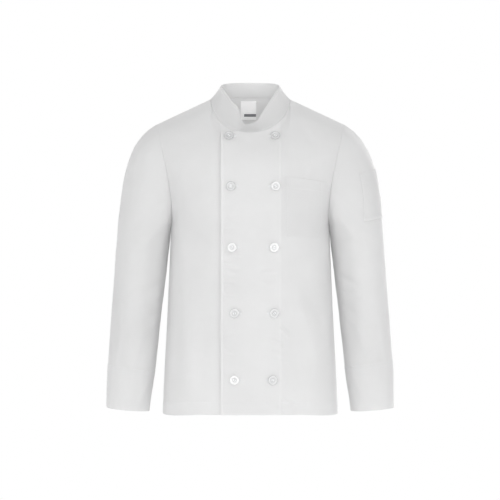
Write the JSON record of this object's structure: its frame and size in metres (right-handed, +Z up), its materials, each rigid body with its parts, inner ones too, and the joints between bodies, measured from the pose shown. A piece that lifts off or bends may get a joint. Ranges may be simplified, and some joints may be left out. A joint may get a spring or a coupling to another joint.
{
  "type": "double-breasted chef jacket",
  "caption": "Long-sleeved double-breasted chef jacket with a stand collar, chest pocket and sleeve pocket, hollow as worn.",
  "frame": {"origin": "middle of the neck opening, level with the side neck points, where the wearer's neck holds the jacket", "axes": "+Z up along the wearer's body, -Y out of the front, +X towards the wearer's left"},
  "size_m": [0.658, 0.2577, 0.7591],
  "materials": {
    "cloth": "matte",
    "button": "satin",
    "label": "satin"
  },
  "bodies": {
    "root": {"front_over": "cloth", "front_under": "cloth", "back": "cloth", "collar": "cloth", "sleeve_left": "cloth", "sleeve_right": "cloth", "chest_pocket": "cloth", "sleeve_pocket": "cloth", "neck_label": "label", "button_lap_1": "button", "button_lap_2": "button", "button_lap_3": "button", "button_lap_4": "button", "button_lap_5": "button", "button_side_1": "button", "button_side_2": "button", "button_side_3": "button", "button_side_4": "button", "button_side_5": "button"}
  },
  "joints": []
}
